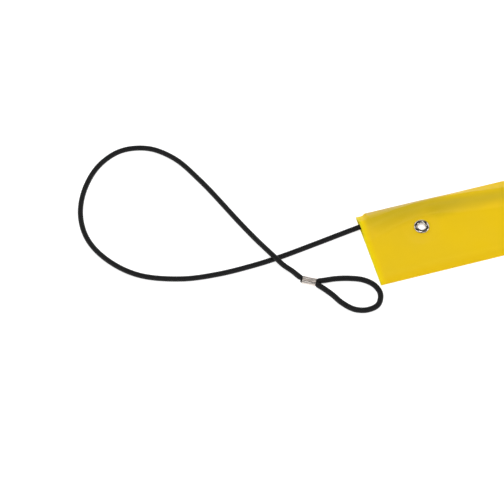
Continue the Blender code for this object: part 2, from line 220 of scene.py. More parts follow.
# A smooth curve through the guides, rows of x, y, z and any further values.
def smoothCurve(guides, step):
    guides = np.array(guides, float)
    padded = np.vstack([2 * guides[0] - guides[1], guides, 2 * guides[-1] - guides[-2]])
    curve = [guides[:1]]
    for i in range(len(guides) - 1):
        before, start, end, after = padded[i:i + 4]
        t1 = math.sqrt(np.linalg.norm((start - before)[:3]))
        t2 = t1 + math.sqrt(np.linalg.norm((end - start)[:3]))
        t3 = t2 + math.sqrt(np.linalg.norm((after - end)[:3]))
        steps = max(2, math.ceil(np.linalg.norm((end - start)[:3]) / step))
        t = (t1 + (t2 - t1) * np.arange(1, steps + 1) / steps)[:, None]
        a1 = before * (t1 - t) / t1 + start * t / t1
        a2 = start * (t2 - t) / (t2 - t1) + end * (t - t1) / (t2 - t1)
        a3 = end * (t3 - t) / (t3 - t2) + after * (t - t2) / (t3 - t2)
        b1 = a1 * (t2 - t) / t2 + a2 * t / t2
        b2 = a2 * (t3 - t) / (t3 - t1) + a3 * (t - t1) / (t3 - t1)
        curve.append(b1 * (t2 - t) / (t2 - t1) + b2 * (t - t1) / (t2 - t1))
    curve = np.vstack(curve)
    along = np.concatenate([[0], np.cumsum(np.linalg.norm(np.diff(curve[:, :3], axis=0), axis=1))])
    even = np.linspace(0, along[-1], math.ceil(along[-1] / step) + 1)
    return np.stack([np.interp(even, along, column) for column in curve.T], axis=1), even


runCurve = smoothCurve([(s, t, 0.0) for s, t in runRoute], 1 * mm)[0]


def runBelowFold(fromEnd):
    return np.interp(fromEnd, runCurve[:, 0], runCurve[:, 1])


# Height of a two-over-two braid, 0 to 1, and 1 where a right-hand strand is on top.
def braid(around, along):
    turns = along / cord["turn"]
    a = cord["carriers"] * (around + turns)
    b = cord["carriers"] * (around - turns)
    overA = np.sin(math.pi / 2 * (b + np.floor(a)))
    overB = -np.sin(math.pi / 2 * (a + np.floor(b)))
    crownA = np.sqrt(np.abs(np.sin(math.pi * a)))
    crownB = np.sqrt(np.abs(np.sin(math.pi * b)))
    heightA = crownA * (0.62 + 0.38 * overA)
    heightB = crownB * (0.62 + 0.38 * overB)
    return np.maximum(heightA, heightB), (heightA > heightB).astype(float)


# A braided cord along the line; its last stretch, roundEnd long, is melted to a dome.
def cordTube(name, line, along, shares, material, roundEnd=0.0):
    sides = cord["sides"]
    tangent = np.gradient(line, axis=0)
    tangent /= np.linalg.norm(tangent, axis=1)[:, None]
    across = np.cross(tangent, (0.0, 0.0, 1.0))
    across /= np.linalg.norm(across, axis=1)[:, None]
    upward = np.cross(across, tangent)
    around = np.arange(sides) / sides
    height, rightHand = braid(around[None, :], along[:, None])
    toEnd = along[-1] - along
    melted = smooth(1 - toEnd / roundEnd) if roundEnd else np.zeros(len(along))
    radius = shares * cordRadius
    if roundEnd:
        radius = radius * np.sqrt(np.clip(1 - (1 - np.minimum(toEnd / roundEnd, 1)) ** 2, 0.04, 1))
    loose = smooth((shares - cord["squeeze"]) / (1 - cord["squeeze"])) * (1 - melted)
    ringRadius = radius[:, None] + (cord["bulk"] + cord["relief"] * (height - 0.5)) * loose[:, None]
    turned = 2 * math.pi * around
    points = (line[:, None, :]
              + ringRadius[:, :, None] * (np.cos(turned)[None, :, None] * across[:, None, :]
                                          + np.sin(turned)[None, :, None] * upward[:, None, :]))
    rings = len(line)
    faces = [tuple(f) for f in gridFaces(rings, sides)]
    faces.append(tuple(range(sides))[::-1])
    faces.append(tuple(range((rings - 1) * sides, rings * sides)))
    piece = addPiece(name, points.reshape(-1, 3), faces, material, 60)
    setAttribute(piece, "strandHeight", height.ravel())
    setAttribute(piece, "rightHand", rightHand.ravel())
    addBraidMap(piece, sides, along)
    return piece


# A map in metres, round and along the cord, for the fine yarns.
def addBraidMap(piece, sides, along):
    loops = np.zeros(len(piece.data.loops), np.int32)
    piece.data.loops.foreach_get("vertex_index", loops)
    starts = np.zeros(len(piece.data.polygons), np.int32)
    totals = np.zeros(len(piece.data.polygons), np.int32)
    piece.data.polygons.foreach_get("loop_start", starts)
    piece.data.polygons.foreach_get("loop_total", totals)
    ring, step = loops // sides, loops % sides
    firstOfSeam = np.zeros(len(loops), bool)
    for start in starts[totals == 4]:
        face = slice(start, start + 4)
        if step[face].max() - step[face].min() > 1:
            firstOfSeam[face] = step[face] == 0
    turn = (step + sides * firstOfSeam) / sides * 2 * math.pi * cordRadius
    uv = piece.data.uv_layers.new(name="braid")
    uv.data.foreach_set("uv", np.stack([turn, along[ring]], axis=1).ravel().astype(np.float32))


def ferruleFrame(ferrule):
    start, end = ferrule
    along = (end - start) / np.linalg.norm(end - start)
    return start, along, np.cross((0.0, 0.0, 1.0), along)


# Guides of one lead, x, y, z and share of the radius, from inside the sleeve to the tail.
def leadGuides(side, route, ferrule, eye):
    start, along, across = ferruleFrame(ferrule)
    end = start + along * ferruleSize["length"]
    reach = cordRadius
    offset = across * cord["strandOffset"]
    guides = []
    for inside in (cord["tuck"], cord["tuck"] / 2, 0.0):
        guides.append((side * (halfLength - inside), halfWidth - runBelowFold(inside), runHeight, 1.0))
    guides += [(*point, 1.0) for point in route]
    guides.append((*(start + offset - along * reach), 1.0))
    guides.append((*(start + offset), cord["squeeze"]))
    guides.append((*(end + offset), cord["squeeze"]))
    guides.append((*(end + offset * cord["spread"] + along * reach), 1.0))
    guides += [(*point, cord["eyeShare"]) for point in eye]
    guides.append((*(end - offset * cord["spread"] + along * reach), 1.0))
    guides.append((*(end - offset), cord["squeeze"]))
    guides.append((*(start - offset), cord["squeeze"]))
    guides.append((*(start - offset * cord["tailInward"] - along * cord["tail"]), cord["cutShare"]))
    return guides


def makeLead(end, side, route, ferrule, eye, material):
    curve, along = smoothCurve(leadGuides(side, route, ferrule, eye), cord["ringStep"])
    line = curve[:, :3]
    shares = np.clip(curve[:, 3], cord["cutShare"], cord["eyeShare"])
    lead = cordTube(f"braided_lead_{end}", line, along, shares, material, cord["meltedEnd"])
    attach(lead, "cord")
    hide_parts(f"cord_lead_{end}")


def makeRun(material):
    reach = halfLength - cord["tuck"] - cord["faceGap"]
    x = np.linspace(-reach, reach, math.ceil(2 * reach / (3 * cord["ringStep"])))
    line = np.stack([x, halfWidth - runBelowFold(halfLength - np.abs(x)), np.full(len(x), runHeight)], 1)
    along = np.concatenate([[0], np.cumsum(np.linalg.norm(np.diff(line, axis=0), axis=1))])
    run = cordTube("braided_run", line, along, np.ones(len(x)), material)
    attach(run, "cord")
    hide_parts("cord_run")


ferruleSize = {
    "length": 12.4 * mm,
    "wall": 0.45 * mm,
    "channel": 1.67 * mm,               # radius of each of its two rounds, inside
    "grooveFillet": 0.28 * mm,          # radius of the groove's floor
    "flare": 0.14 * mm,                 # how far both ends open
    "flareLength": 1.5 * mm,
    "press": 0.07 * mm,                 # waist left by the press
    "pressFrom": 2.4 * mm,              # where it starts, from each end
    "pressRunIn": 1.6 * mm,
    "seamDepth": 0.22 * mm,             # where the sheet's edges meet, underneath
    "seamWidth": 0.32 * mm,
}


# Two rounds side by side with a filleted groove above and below, (across, up).
def doubleRound(radius):
    offset = cord["strandOffset"]
    fillet = ferruleSize["grooveFillet"]
    filletHeight = math.sqrt((radius + fillet) ** 2 - offset ** 2)
    touch = math.degrees(math.atan2(filletHeight, offset))
    right = arc((offset, 0), radius, -180 + touch, 180 - touch, 41)
    top = arc((0, filletHeight), fillet, -touch, -180 + touch, 9)[1:-1]
    return np.vstack([right, top, -right, -top])


def makeFerrule(end, ferrule, material):
    start, along, across = ferruleFrame(ferrule)
    length = ferruleSize["length"]
    wall = ferruleSize["wall"]
    lip = np.radians(np.linspace(-90, 90, 7))
    # the rounded edge at each end: (in from the end, outwards)
    mouth = [(wall / 2 * (1 - math.cos(a)), wall / 2 * math.sin(a)) for a in lip]
    body = np.linspace(0.05, 0.95, 25) * length
    outline = doubleRound(ferruleSize["channel"])
    normal = np.roll(outline, -1, 0) - np.roll(outline, 1, 0)
    normal = np.stack([normal[:, 1], -normal[:, 0]], 1)
    normal /= np.linalg.norm(normal, axis=1)[:, None]
    # one closed section of the wall: (along, distance out of the channel)
    loop = [(x, wall) for x in body]
    loop += [(length - inward, wall / 2 + out) for inward, out in reversed(mouth)]
    loop += [(x, 0.0) for x in body[::-1]]
    loop += [(inward, wall / 2 + out) for inward, out in mouth]
    points = []
    for x, out in loop:
        fromEnd = min(x, length - x)
        flare = ferruleSize["flare"] * smooth(1 - fromEnd / ferruleSize["flareLength"])
        pressed = smooth((fromEnd - ferruleSize["pressFrom"]) / ferruleSize["pressRunIn"])
        waist = ferruleSize["press"] * pressed
        ring = outline + normal * (out + flare - waist)
        seam = np.exp(-(ring[:, 0] / ferruleSize["seamWidth"]) ** 2 * 4) * (ring[:, 1] < 0)
        if out > wall / 2:
            ring[:, 1] += ferruleSize["seamDepth"] * seam
        points.append(start + along * x + across * ring[:, :1] + np.outer(ring[:, 1], (0, 0, 1)))
    points = np.array(points)
    faces = gridFaces(len(points), len(outline), wrapRows=True)
    piece = addPiece(f"pressed_ferrule_{end}", points.reshape(-1, 3), faces, material, 50)
    steps = np.linalg.norm(np.diff(outline, axis=0), axis=1)
    setAttribute(piece, "acrossSheet", np.tile(np.concatenate([[0], np.cumsum(steps)]), len(points)))
    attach(piece, "cord")
    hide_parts(f"ferrule_{end}")
    return piece


sleeve = {
    "vinyl": 0.6 * mm,
    "layerGap": 0.4 * mm,
    "clearance": 0.3 * mm,
    "cordRoom": 1.3 * mm,               # sideways, under the upper layer
    "mouthRoom": 0.9 * mm,
    "mouthDepth": 22 * mm,
    "drape": 11 * mm,                   # from the cord's crest to the flat, beside the eyelet
    "longDrape": 16 * mm,               # and clear of it
    "drapeChange": (16 * mm, 28 * mm),  # from the eyelet: the change starts, and how long it is
    "foldRadius": 0.8 * mm,
    "roll": 0.75 * mm,                  # the fold is fatter by this where the cord lies near it
    "rollEnds": 95 * mm,
    "cornerStep": 1.35 * mm,            # the fold is drawn in at the mouth's corner
    "cornerLength": 7 * mm,
    "weldWidth": 2.6 * mm,
    "weldHeight": 1.06 * mm,
    "weldGroove": 0.05 * mm,
    "weldCorner": (0.3 * mm, 0.09 * mm),    # across and up
    "weldRunIn": 9 * mm,
    "wave": 0.38 * mm,
    "calm": (9 * mm, 16 * mm),          # no waves at the eyelet: up to here, and growing over this
    "foldCalm": 9 * mm,
    "mouthCurl": 0.45 * mm,             # the cut edge of the upper layer stands up a little
    "mouthCurlLength": 5 * mm,
    "mouthSkew": (0.6 * mm, 1.8 * mm),  # the end is cut at a slight slant: at the weld, at the fold
    "mouthSkewLength": 30 * mm,
    "endStep": 0.75 * mm,               # closer stations over the last stretch
    "endLength": 9 * mm,
    "step": 1.5 * mm,
}
eyelet = {
    "inset": 53 * mm,
    "belowFold": 28.2 * mm,
    "bore": 6.4 * mm,
    "flange": 14.3 * mm,
    "metal": 0.3 * mm,
    "crown": 1.2 * mm,
    "crownAt": 0.47,                    # its place between the barrel and the rim
    "fullness": 0.9,                    # under 1, so the slope to the rim is rounder
    "curl": 0.6 * mm,
    "washer": 0.3 * mm,
    "washerDish": 0.05 * mm,
    "washerEdge": 0.1 * mm,
    "gap": 0.25 * mm,
    "levelPast": 1.3 * mm,
    "slope": 11.5 * mm,
    "bulge": (0.16 * mm, 9.6 * mm, 1.3 * mm),   # vinyl squeezed out: height, radius, width
    "nip": (0.10 * mm, 7.7 * mm, 0.6 * mm),     # and drawn down at the flange: the same
    "sides": 96,
}
flatHeight = 2 * sleeve["vinyl"] + sleeve["layerGap"]
crestRadius = sleeve["vinyl"] + sleeve["clearance"] + cordRadius
barrelRadius = eyelet["bore"] / 2 + eyelet["metal"]
washerBottom = eyelet["curl"] + eyelet["gap"]
eyeletLift = washerBottom + eyelet["washer"] + eyelet["gap"]
eyeletX = halfLength - eyelet["inset"]
eyeletY = halfWidth - eyelet["belowFold"]


def fromEyelet(x, y):
    return np.hypot(np.abs(x) - eyeletX, y - eyeletY)


def lift(x, y):
    level = eyelet["flange"] / 2 + eyelet["levelPast"]
    return eyeletLift * smooth((level + eyelet["slope"] - fromEyelet(x, y)) / eyelet["slope"])


# Slow unevenness of the upper layer, never below its flat height.
def waves(x, y):
    total = (np.sin(2 * math.pi * (x / 0.113 + y / 0.19) + 0.7)
             + 0.8 * np.sin(2 * math.pi * (x / 0.071 - y / 0.083) + 2.1)
             + 0.6 * np.sin(2 * math.pi * (x / 0.047 + y / 0.061) + 4.0))
    return sleeve["wave"] * (0.5 + total / 4.8)


# Outline (y, z) of the flattened tube at x, inset from its outer face.
def sleeveSection(x, inset):
    fromEnd = halfLength - abs(x)
    corner = smooth(1 - (fromEnd - 0.8 * sleeve["cornerLength"]) / (0.4 * sleeve["cornerLength"]))
    edge = halfWidth - sleeve["cornerStep"] * corner
    roll = smooth((sleeve["rollEnds"] - fromEnd) / (0.4 * sleeve["rollEnds"])) * (1 - corner)
    foldRadius = sleeve["foldRadius"] + sleeve["roll"] * roll
    room = sleeve["cordRoom"] + sleeve["mouthRoom"] * smooth(1 - fromEnd / sleeve["mouthDepth"])
    crest = halfWidth - runBelowFold(fromEnd)
    changeFrom, changeLength = sleeve["drapeChange"]
    clear = smooth((abs(fromEnd - eyelet["inset"]) - changeFrom) / changeLength)
    drape = sleeve["drape"] + (sleeve["longDrape"] - sleeve["drape"]) * clear
    crestFoldSide = min(crest + room, halfWidth - crestRadius)
    dropStart = crest - room
    foldCentre = edge - foldRadius
    weld = -halfWidth + sleeve["weldWidth"]
    lowY = np.linspace(weld, foldCentre, 44)
    parts = [np.stack([lowY, np.full(len(lowY), inset)], 1)]
    rise = crestRadius - foldRadius
    spread = foldCentre - crestFoldSide
    tangent = math.degrees(math.acos(rise / math.hypot(spread, rise)) - math.atan2(rise, spread))
    parts.append(arc((foldCentre, foldRadius), foldRadius - inset, -90, tangent, 12)[1:])
    roof = arc((crestFoldSide, crestRadius), crestRadius - inset, tangent, 90, 8)
    parts.append(parts[-1][-1] + (roof[0] - parts[-1][-1]) * np.linspace(0, 1, 5)[1:-1, None])
    parts.append(roof)
    top = 2 * crestRadius - inset
    flat = flatHeight - inset
    share = np.linspace(0, 1, 18)
    parts.append(np.stack([dropStart - drape * share,
                           flat + (top - flat) * (1 + np.cos(math.pi * share)) / 2], 1))
    upperY = np.linspace(dropStart - drape, weld, 36)[1:]
    parts.append(np.stack([upperY, np.full(len(upperY), flat)], 1))
    if inset:
        end = arc((weld, (inset + flat) / 2), (flat - inset) / 2, 90, 270, 11)[1:-1]
    else:
        top = sleeve["weldHeight"]
        groove = sleeve["weldGroove"]
        across, up = sleeve["weldCorner"]
        end = np.array([(weld - 0.25 * mm, top - groove), (weld - 0.55 * mm, top), (weld - 1.3 * mm, top),
                        (-halfWidth + across, top), (-halfWidth + up, top - up),
                        (-halfWidth, top / 2), (-halfWidth + up, up),
                        (-halfWidth + across, 0.0), (weld - 1.0 * mm, 0.0)])
    parts.append(end)
    outline = np.vstack(parts)
    upper = np.zeros(len(outline), bool)
    upper[len(lowY) + 6:len(outline) - len(end)] = True
    return outline, upper


def shapedSection(x, inset):
    outline, upper = sleeveSection(x, inset)
    y, z = outline[:, 0], outline[:, 1]
    fromEnd = halfLength - abs(x)
    weld = -halfWidth + sleeve["weldWidth"]
    runIn = smooth(1 - (y - weld) / sleeve["weldRunIn"])
    sink = (flatHeight - sleeve["weldHeight"]) * runIn
    ring = fromEyelet(x, y)
    calmTo, calmLength = sleeve["calm"]
    calm = smooth((ring - calmTo) / calmLength) * (1 - runIn)
    foldShare = smooth((halfWidth - y) / sleeve["foldCalm"])
    curl = sleeve["mouthCurl"] * max(0.0, 1 - fromEnd / sleeve["mouthCurlLength"]) ** 2
    height, radius, width = eyelet["bulge"]
    bulge = height * np.exp(-((ring - radius) / width) ** 2)
    height, radius, width = eyelet["nip"]
    nip = height * np.exp(-((ring - radius) / width) ** 2)
    shape = waves(x, y) * calm * foldShare + curl * foldShare * (1 - runIn) + bulge - nip
    z = z + np.where(upper, shape - sink, 0.0)
    skew = np.interp(y, (-halfWidth, halfWidth), sleeve["mouthSkew"])
    skew = skew * smooth(1 - fromEnd / sleeve["mouthSkewLength"])
    return np.stack([x + math.copysign(1, x) * skew, y, z + lift(x, y)], 1)


# Painted shade on the layer over the cord, 0 to 1, where the black cord also shows through.
# The layer touches the cord on the fold side near the mouth, and on the other side further in.
def cordShade(fromEnd, belowFold):
    paintedShade = np.array(cord["paintedShade"])
    inward = paintedShade[:, 0]
    middle = np.interp(fromEnd, inward, paintedShade[:, 1])
    above = np.interp(fromEnd, inward, paintedShade[:, 2])
    depth = np.interp(fromEnd, inward, paintedShade[:, 3])
    toFold = above + (1 - above) * smooth(belowFold / middle) ** 1.7
    below = np.interp(fromEnd, inward, paintedShade[:, 4])
    return depth * np.where(belowFold < middle, toFold, smooth(1 - (belowFold - middle) / below))


# Each shade is full up to its first distance and fades over its second.
vinylShades = {
    "cutEdgeHighlight": (0.5 * mm, 6 * mm),      # painted highlight, from the band's end
    "sawnEdge": (0.0, 0.9 * mm),
    # painted sheen, strongest at the band's end
    "endSheen": (0.0, 130 * mm),
    "foldSheenStart": (6 * mm, 3 * mm),      # the painted sheen on the fold starts past the corner
    "foldSheenStop": (63 * mm, 45 * mm),
    "foldSheen": (1.2 * mm, 4.5 * mm),       # painted sheen, from the fold
    "weld": (4 * mm, 7 * mm),           # from the welded edge
    "weldBar": (1.2 * mm, 1.6 * mm),
}


def fade(distance, shade):
    full, over = vinylShades[shade]
    return smooth(1 - (distance - full) / over)


def makeSleeve(material):
    endLength = sleeve["endLength"]
    stations = list(np.arange(0, endLength, sleeve["endStep"]))
    stations += list(np.arange(endLength, halfLength, sleeve["step"]))
    stations = [-halfLength + s for s in stations]
    stations = np.array(stations + [0.0] + [-x for x in reversed(stations)])
    outer = np.array([shapedSection(x, 0.0) for x in stations])
    inner = np.array([shapedSection(x, sleeve["vinyl"]) for x in stations])
    rows, columns = outer.shape[:2]
    quads = gridFaces(rows, columns)
    flatOuter = outer.reshape(-1, 3)
    centre = flatOuter[quads].mean(1)
    hole = barrelRadius + sleeve["clearance"]
    inHole = fromEyelet(centre[:, 0], centre[:, 1]) < hole
    rim = openEdges(quads[inHole])
    for grid in (outer, inner):
        points = grid.reshape(-1, 3)
        for i in sorted({i for pair in rim for i in pair}):
            middle = np.array((math.copysign(eyeletX, points[i, 0]), eyeletY))
            offset = points[i, :2] - middle
            points[i, :2] = middle + offset * hole / np.linalg.norm(offset)
    count = rows * columns
    faces = [tuple(q) for q in quads[~inHole]]
    faces += [tuple(q[::-1] + count) for q in quads[~inHole]]
    faces += [(a, b, b + count, a + count) for a, b in rim]
    for row in (0, rows - 1):
        first = row * columns
        for k in range(columns):
            a, b = first + k, first + (k + 1) % columns
            faces.append((a, b, b + count, a + count))
    points = np.vstack([outer.reshape(-1, 3), inner.reshape(-1, 3)])
    piece = addPiece("vinyl_sleeve", points, faces, material, 38)
    clean = bmesh.new()
    clean.from_mesh(piece.data)
    bmesh.ops.delete(clean, geom=[v for v in clean.verts if not v.link_faces], context="VERTS")
    clean.to_mesh(piece.data)
    clean.free()
    xyz = np.zeros(len(piece.data.vertices) * 3)
    piece.data.vertices.foreach_get("co", xyz)
    x, y = xyz.reshape(-1, 3).T[:2]
    fromEnd = halfLength - np.abs(x)
    belowFold = halfWidth - y
    sheenAlongFold = (1 - fade(fromEnd, "foldSheenStart")) * fade(fromEnd, "foldSheenStop")
    # the painted highlight along the cut edge, the sawn face, and the painted sheen near the ends
    for shade in ("cutEdgeHighlight", "sawnEdge", "endSheen"):
        setAttribute(piece, shade, fade(fromEnd, shade))
    for shade in ("weld", "weldBar"):
        setAttribute(piece, shade, fade(y + halfWidth, shade))
    # painted sheen along the fold
    setAttribute(piece, "foldSheen", fade(belowFold, "foldSheen") * sheenAlongFold)
    # painted shade on the sleeve over the cord
    setAttribute(piece, "paintedCordShade", cordShade(fromEnd, belowFold))
    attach(piece, "band")
    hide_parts("sleeve")


# Edges that belong to only one of the quads.
def openEdges(quads):
    seen = {}
    for quad in quads:
        for a, b in zip(quad, np.roll(quad, -1)):
            key = (min(a, b), max(a, b))
            seen[key] = None if key in seen else (int(a), int(b))
    return [pair for pair in seen.values() if pair]


# A ring turned about a vertical axis from a closed profile, rows of radius and height.
def turnedRing(name, profile, side, material, replaced):
    sides = eyelet["sides"]
    turn = 2 * math.pi * np.arange(sides) / sides
    points = []
    for radius, height in profile:
        points.append(np.stack([side * eyeletX + radius * np.cos(turn), eyeletY + radius * np.sin(turn),
                                np.full(sides, height)], 1))
    faces = gridFaces(len(profile), sides, wrapRows=True)
    piece = addPiece(name, np.vstack(points), faces, material, 55)
    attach(piece, "band")
    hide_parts(replaced)


# Closed outline of a sheet whose middle follows the path, with rounded ends.
def sheetProfile(path, thickness):
    path = np.array(path)
    tangent = np.gradient(path, axis=0)
    tangent /= np.linalg.norm(tangent, axis=1)[:, None]
    across = np.stack([-tangent[:, 1], tangent[:, 0]], 1) * thickness / 2
    startCap = path[0] - tangent[0] * thickness / 2 * 0.8
    endCap = path[-1] + tangent[-1] * thickness / 2 * 0.8
    return np.vstack([path + across, endCap, (path - across)[::-1], startCap])


def makeEyelet(end, side, material):
    half = eyelet["metal"] / 2
    vinylTop = eyeletLift + flatHeight
    rim = eyelet["flange"] / 2 - half
    barrel = barrelRadius - half
    rimHeight = vinylTop + half
    crownTop = vinylTop + sleeve["clearance"] + eyelet["crown"] - half
    crownRadius = barrel + eyelet["crownAt"] * (rim - barrel)
    width = rim - crownRadius
    rise = crownTop - rimHeight
    path = [(crownRadius + width * math.cos(a), rimHeight + rise * math.sin(a) ** eyelet["fullness"])
            for a in np.radians(np.linspace(4, 90, 14))]
    depth = crownRadius - barrel
    path += [(crownRadius + depth * math.cos(a), crownTop - depth * (1 - math.sin(a)))
             for a in np.radians(np.linspace(90, 180, 12))[1:]]
    curl = eyelet["curl"] - half
    path += [(barrel, crownTop - depth - (crownTop - depth - eyelet["curl"]) * t) for t in (0.33, 0.66)]
    path += [tuple(p) for p in arc((barrel + curl, eyelet["curl"]), curl, 180, 300, 11)]
    profile = sheetProfile(path, eyelet["metal"])
    turnedRing(f"plated_eyelet_{end}", profile, side, material, f"eyelet_{end}")


def makeWasher(end, side, material):
    inside = barrelRadius + sleeve["clearance"]
    outside = eyelet["flange"] / 2
    middle = (inside + outside) / 2
    height = washerBottom + eyelet["washer"] / 2
    edge = eyelet["washerEdge"]
    path = [(r, height - eyelet["washerDish"] * (1 - ((r - middle) / (outside - middle)) ** 2))
            for r in np.linspace(inside + edge, outside - edge, 11)]
    profile = sheetProfile(path, eyelet["washer"])
    turnedRing(f"plated_washer_{end}", profile, side, material, f"eyelet_washer_{end}")


# Soft PVC sheet rolled between hot cylinders: even colour, satin gloss, a very fine grain.
# Painted shade over the cord, painted sheen near the ends and along the fold, and a painted
# highlight at the cut edge.
def calenderedVinyl():
    material, tree, shader = newMaterial("calenderedVinyl", {
        "Roughness": 0.42, "IOR": 1.53, "Specular IOR Level": 0.16,
    })
    place = addNode(tree, "ShaderNodeTexCoord").outputs["Object"]
    patches = addNode(tree, "ShaderNodeTexNoise", {"Scale": 1 / 0.055, "Detail": 3.0, "Roughness": 0.5},
                      {"Vector": place})                   # plasticiser patches, 55 mm apart
    tone = addNode(tree, "ShaderNodeMapRange", {"From Min": 0.35, "From Max": 0.65},
                   {"Value": patches.outputs["Fac"]})
    base = addNode(tree, "ShaderNodeMix", {"data_type": "RGBA", 6: linear("ECC50A"), 7: linear("E9C214")},
                   {0: tone.outputs["Result"]}).outputs[2]
    # patches that break up the painted sheen near the ends
    endSheenPatches = addNode(tree, "ShaderNodeMapRange", {"From Min": 0.3, "From Max": 0.6, "To Min": 0.45},
                    {"Value": patches.outputs["Fac"]})
    # patches that break up the painted sheen along the fold
    foldSheenPatches = addNode(tree, "ShaderNodeTexNoise", {"Scale": 1 / 0.009, "Detail": 4.0}, {"Vector": place})
    patchy = addNode(tree, "ShaderNodeMapRange", {"From Min": 0.3, "From Max": 0.6, "To Min": 0.4},
                   {"Value": foldSheenPatches.outputs["Fac"]})
    tints = (                           # each lies over the ones above it, broken up by the last
        ("endSheen", "E4BF1C", endSheenPatches),   # painted sheen near the ends, paler and greyer
        ("weld", "E7BF06", None),
        ("paintedCordShade", "C8AC1C", None),   # painted shade over the cord, where the black cord also shows through
        ("cutEdgeHighlight", "F0CF00", None),    # painted highlight along the cut edge
        ("sawnEdge", "E6D00A", None),
        ("foldSheen", "CDB268", patchy),       # painted sheen along the fold, broken up in patches
    )
    for name, colour, broken in tints:
        amount = addNode(tree, "ShaderNodeAttribute", {"attribute_name": name}).outputs["Fac"]
        if broken is not None:
            amount = addNode(tree, "ShaderNodeMath", {"operation": "MULTIPLY"},
                             {0: amount, 1: broken.outputs["Result"]}).outputs[0]
        base = addNode(tree, "ShaderNodeMix", {"data_type": "RGBA", 7: linear(colour)},
                       {0: amount, 6: base}).outputs[2]
    tree.links.new(base, shader.inputs["Base Color"])
    gloss = addNode(tree, "ShaderNodeTexNoise", {"Scale": 1 / 0.018, "Detail": 5.0}, {"Vector": place})
    rough = addNode(tree, "ShaderNodeMapRange", {
        "From Min": 0.3, "From Max": 0.7, "To Min": 0.36, "To Max": 0.48,
    }, {"Value": gloss.outputs["Fac"]})
    tree.links.new(rough.outputs["Result"], shader.inputs["Roughness"])
    # real grain is about 0.3 mm: drawn at 0.9 mm
    grain = addNode(tree, "ShaderNodeTexNoise", {"Scale": 1 / 0.0009, "Detail": 2.0}, {"Vector": place})
    grained = addNode(tree, "ShaderNodeBump", {"Strength": 0.25, "Distance": 0.00003},
                      {"Height": grain.outputs["Fac"]})
    knurl = addNode(tree, "ShaderNodeTexWave", {"Scale": math.pi / 10 / 0.0012, "bands_direction": "X"},
                    {"Vector": place})                     # ribs of the welding bar, 1.2 mm apart
    weldBar = addNode(tree, "ShaderNodeAttribute", {"attribute_name": "weldBar"}).outputs["Fac"]
    ribs = addNode(tree, "ShaderNodeMath", {"operation": "MULTIPLY"}, {0: weldBar, 1: knurl.outputs["Fac"]})
    ribbed = addNode(tree, "ShaderNodeBump", {"Strength": 0.4, "Distance": 0.00005},
                     {"Height": ribs.outputs[0], "Normal": grained.outputs["Normal"]})
    tree.links.new(ribbed.outputs["Normal"], shader.inputs["Normal"])
    return material


# Black polyester yarn braided over rubber: painted shade in the gaps, a painted sheen along the crowns.
def braidedPolyester():
    material, tree, shader = newMaterial("braidedPolyester", {
        "Roughness": 0.55, "IOR": 1.50, "Specular IOR Level": 0.2,
        "Sheen Weight": 0.03, "Sheen Roughness": 0.4, "Sheen Tint": linear("8A8A90"),
    })
    height = addNode(tree, "ShaderNodeAttribute", {"attribute_name": "strandHeight"}).outputs["Fac"]
    # crowns drawn lighter and gaps darker: painted sheen on the crowns, painted shade in the gaps
    shade = addNode(tree, "ShaderNodeMapRange", {"From Min": 0.5, "From Max": 0.95}, {"Value": height})
    base = addNode(tree, "ShaderNodeMix", {"data_type": "RGBA", 6: linear("040404"), 7: linear("272728")},
                   {0: shade.outputs["Result"]})
    fuzz = addNode(tree, "ShaderNodeTexNoise", {"Scale": 1 / 0.006, "Detail": 3.0},
                   {"Vector": addNode(tree, "ShaderNodeTexCoord").outputs["Object"]})
    patchy = addNode(tree, "ShaderNodeMix", {"data_type": "RGBA", "blend_type": "MULTIPLY", 0: 0.35},
                   {6: base.outputs[2], 7: fuzz.outputs["Fac"]})
    tree.links.new(patchy.outputs[2], shader.inputs["Base Color"])
    where = addNode(tree, "ShaderNodeUVMap", {"uv_map": "braid"}).outputs["UV"]
    lean = math.atan2(math.pi * cord["diameter"], cord["turn"])
    yarns = []
    for side in (1, -1):                                   # yarns follow their strand, 0.3 mm apart
        turned = addNode(tree, "ShaderNodeMapping", {"Rotation": (0.0, 0.0, side * lean)}, {"Vector": where})
        wave = addNode(tree, "ShaderNodeTexWave", {"Scale": math.pi / 10 / 0.0003, "bands_direction": "X"},
                       {"Vector": turned.outputs["Vector"]})
        yarns.append(wave.outputs["Fac"])
    rightHand = addNode(tree, "ShaderNodeAttribute", {"attribute_name": "rightHand"}).outputs["Fac"]
    yarn = addNode(tree, "ShaderNodeMix", {"data_type": "FLOAT"}, {0: rightHand, 2: yarns[1], 3: yarns[0]})
    bump = addNode(tree, "ShaderNodeBump", {"Strength": 0.45, "Distance": 0.00005},
                   {"Height": yarn.outputs[0]})
    tree.links.new(bump.outputs["Normal"], shader.inputs["Normal"])
    return material


